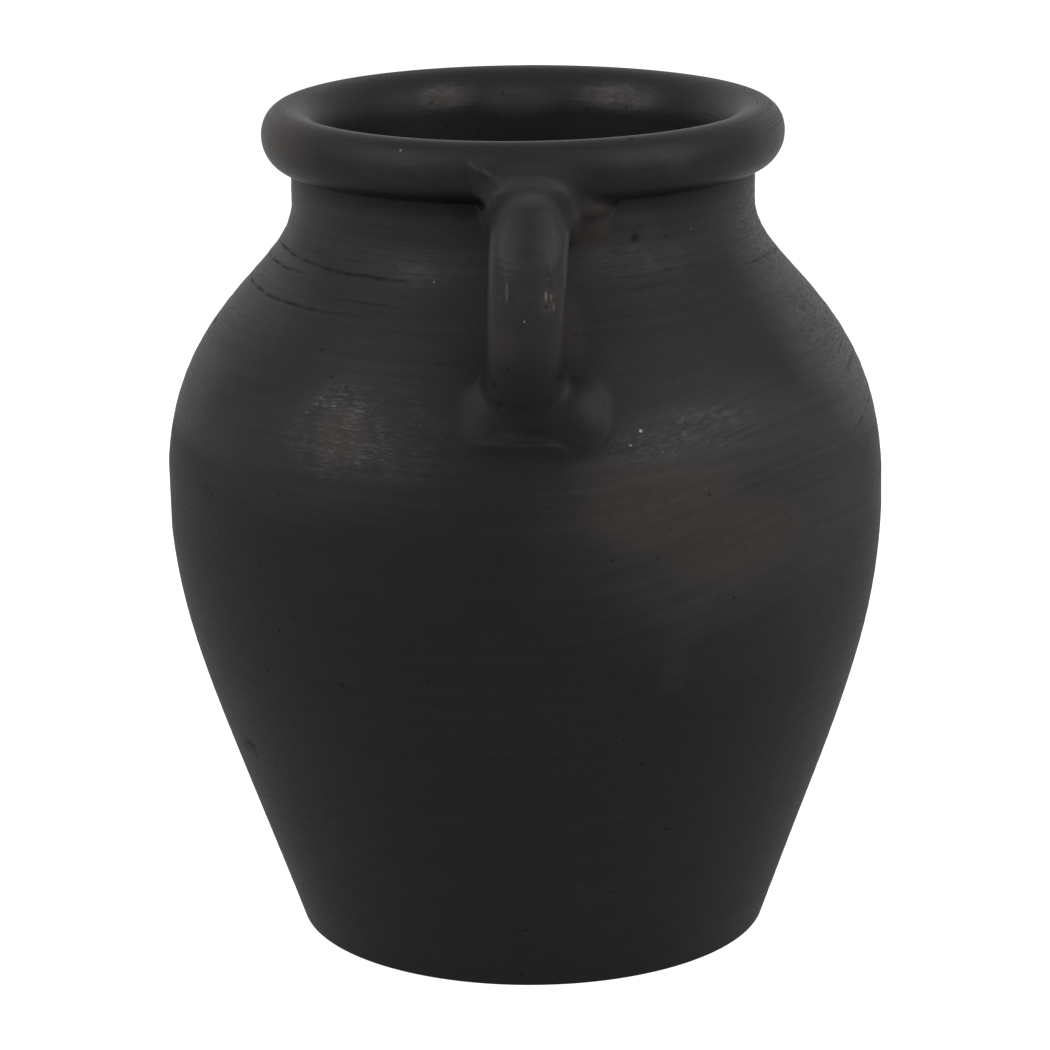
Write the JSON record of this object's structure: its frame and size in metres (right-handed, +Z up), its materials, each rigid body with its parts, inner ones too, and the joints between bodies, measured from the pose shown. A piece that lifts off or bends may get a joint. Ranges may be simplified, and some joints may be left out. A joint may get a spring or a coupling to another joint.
{
  "type": "two-handled jar vase",
  "caption": "Black-fired terracotta jar vase with a full shoulder, a thick rolled rim and a small pulled handle from rim to shoulder on the front and the back.",
  "frame": {"origin": "middle of the foot, on the surface that the jar stands on", "axes": "+Z up along the wheel's axis; -Y towards the front handle, +Y towards the back handle"},
  "size_m": [0.2002, 0.2002, 0.2335],
  "materials": {
    "body_clay": "black-fired terracotta, satin where burnished, with fine throwing lines and faint brown rub-through",
    "rim_clay": "black-fired terracotta, satin, rubbed a little brown along the roll",
    "handle_clay": "black-fired terracotta, smoothed by hand, satin",
    "luting_clay": "black-fired terracotta, thumb-smoothed, matt"
  },
  "bodies": {
    "root": {"thrown_body": "body_clay", "rolled_rim": "rim_clay", "front_handle": "handle_clay", "back_handle": "handle_clay", "front_rim_collar": "luting_clay", "back_rim_collar": "luting_clay", "front_shoulder_pad": "luting_clay", "back_shoulder_pad": "luting_clay"}
  },
  "joints": []
}
